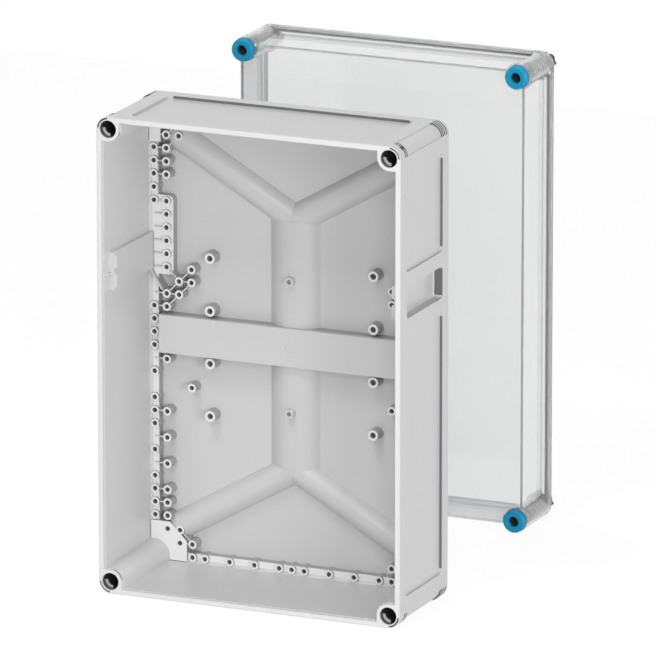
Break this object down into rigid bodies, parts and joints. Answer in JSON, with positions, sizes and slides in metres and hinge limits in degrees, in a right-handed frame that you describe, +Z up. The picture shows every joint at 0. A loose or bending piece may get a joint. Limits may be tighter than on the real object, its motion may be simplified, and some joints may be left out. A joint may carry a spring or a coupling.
{
  "type": "modular electrical enclosure",
  "caption": "Grey modular wall enclosure base with screw posts and corner tubes, and its clear cover with quarter-turn corner locks taken off and standing behind it.",
  "frame": {"origin": "centre of the wall-fixing pattern, on the rear face of the base", "axes": "+X to the right and +Z up as seen from the front, +Y into the enclosure, towards the wall"},
  "size_m": [0.3134, 0.413, 0.45],
  "materials": {
    "base_grey": "fine satin moulded polycarbonate",
    "cover_clear": "clear polished polycarbonate",
    "seal_foam": "foamed seal, matte",
    "lock_blue": "satin moulded plastic",
    "lock_black": "glass-filled plastic",
    "spring_steel": "drawn wire",
    "washer_steel": "plated",
    "clip_black": "moulded plastic"
  },
  "bodies": {
    "base": {"enclosure_base": "base_grey"},
    "cover": {"enclosure_cover": "cover_clear", "cover_gasket": "seal_foam", "lock_washer_upper_left": "washer_steel", "lock_washer_upper_right": "washer_steel", "lock_washer_lower_left": "washer_steel", "lock_washer_lower_right": "washer_steel"},
    "lock_upper_left": {"lock_knob_upper_left": "lock_blue", "lock_shaft_upper_left": "lock_black", "lock_spring_upper_left": "spring_steel", "lock_clip_upper_left": "clip_black"},
    "lock_upper_right": {"lock_knob_upper_right": "lock_blue", "lock_shaft_upper_right": "lock_black", "lock_spring_upper_right": "spring_steel", "lock_clip_upper_right": "clip_black"},
    "lock_lower_left": {"lock_knob_lower_left": "lock_blue", "lock_shaft_lower_left": "lock_black", "lock_spring_lower_left": "spring_steel", "lock_clip_lower_left": "clip_black"},
    "lock_lower_right": {"lock_knob_lower_right": "lock_blue", "lock_shaft_lower_right": "lock_black", "lock_spring_lower_right": "spring_steel", "lock_clip_lower_right": "clip_black"}
  },
  "joints": [
    {"name": "cover_lift_off", "type": "slide", "parent": "base", "child": "cover", "axis": [0, -1, 0], "range_m": [0, 0.2]},
    {"name": "turn_lock_upper_left", "type": "hinge", "parent": "cover", "child": "lock_upper_left", "pos_m": [-0.1519, 0.225, 0.2135], "axis": [0, 1, 0], "range_deg": [0, 90]},
    {"name": "turn_lock_upper_right", "type": "hinge", "parent": "cover", "child": "lock_upper_right", "pos_m": [0.1251, 0.225, 0.2135], "axis": [0, 1, 0], "range_deg": [0, 90]},
    {"name": "turn_lock_lower_left", "type": "hinge", "parent": "cover", "child": "lock_lower_left", "pos_m": [-0.1519, 0.225, -0.2135], "axis": [0, 1, 0], "range_deg": [0, 90]},
    {"name": "turn_lock_lower_right", "type": "hinge", "parent": "cover", "child": "lock_lower_right", "pos_m": [0.1251, 0.225, -0.2135], "axis": [0, 1, 0], "range_deg": [0, 90]}
  ]
}
